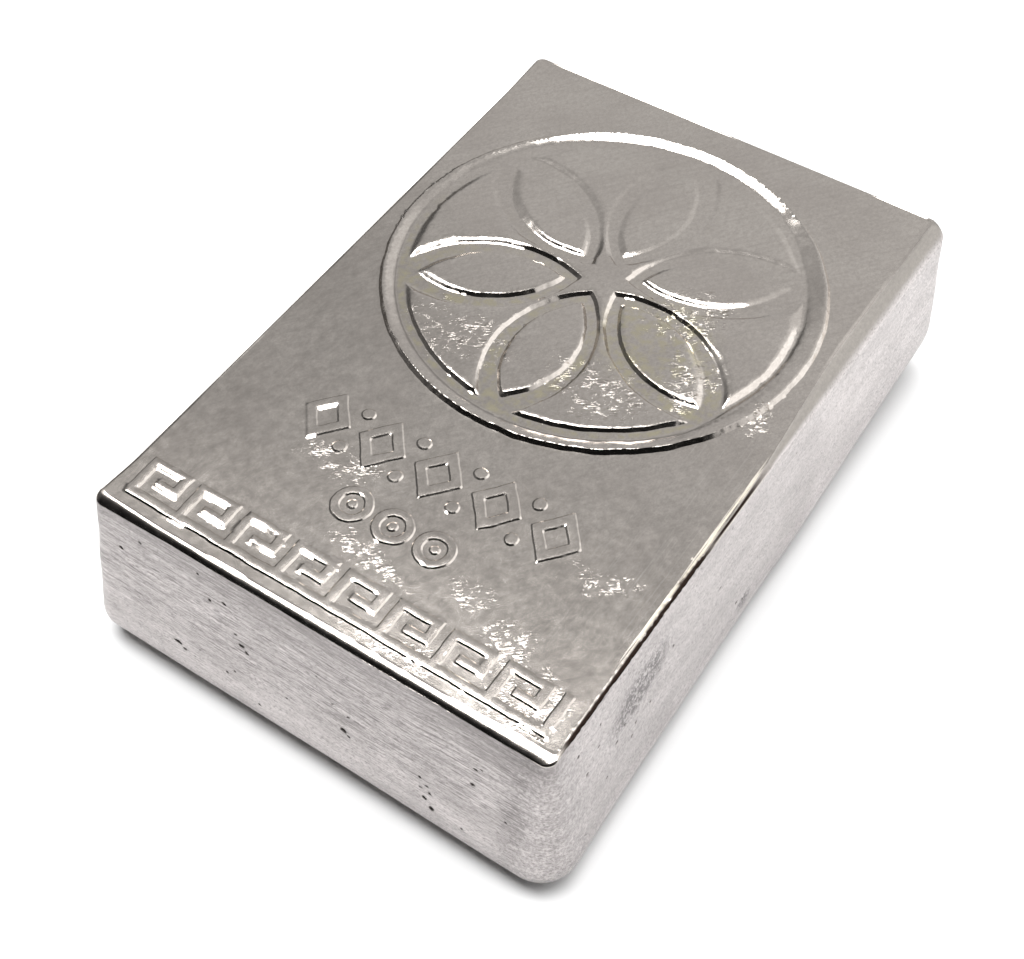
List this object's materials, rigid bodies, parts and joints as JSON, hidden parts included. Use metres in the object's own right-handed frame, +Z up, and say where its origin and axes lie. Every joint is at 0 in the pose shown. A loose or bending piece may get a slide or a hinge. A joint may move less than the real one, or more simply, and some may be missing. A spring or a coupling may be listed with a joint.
{
  "type": "bismuth ingot",
  "caption": "Small cast bismuth ingot that lies flat: a rectangular block, wider at its base, with a raised rosette medallion and rows of raised ornament on its top face.",
  "frame": {"origin": "centre of the flat resting face, under the middle of the block", "axes": "+Z up from the resting face to the relief, +Y along the block towards the end with the medallion, +X across it"},
  "size_m": [0.0443, 0.0656, 0.0177],
  "materials": {
    "bismuth": "satin cast metal, smooth on top, finely brushed on the sides"
  },
  "bodies": {
    "root": {"ingot": "bismuth"}
  },
  "joints": []
}
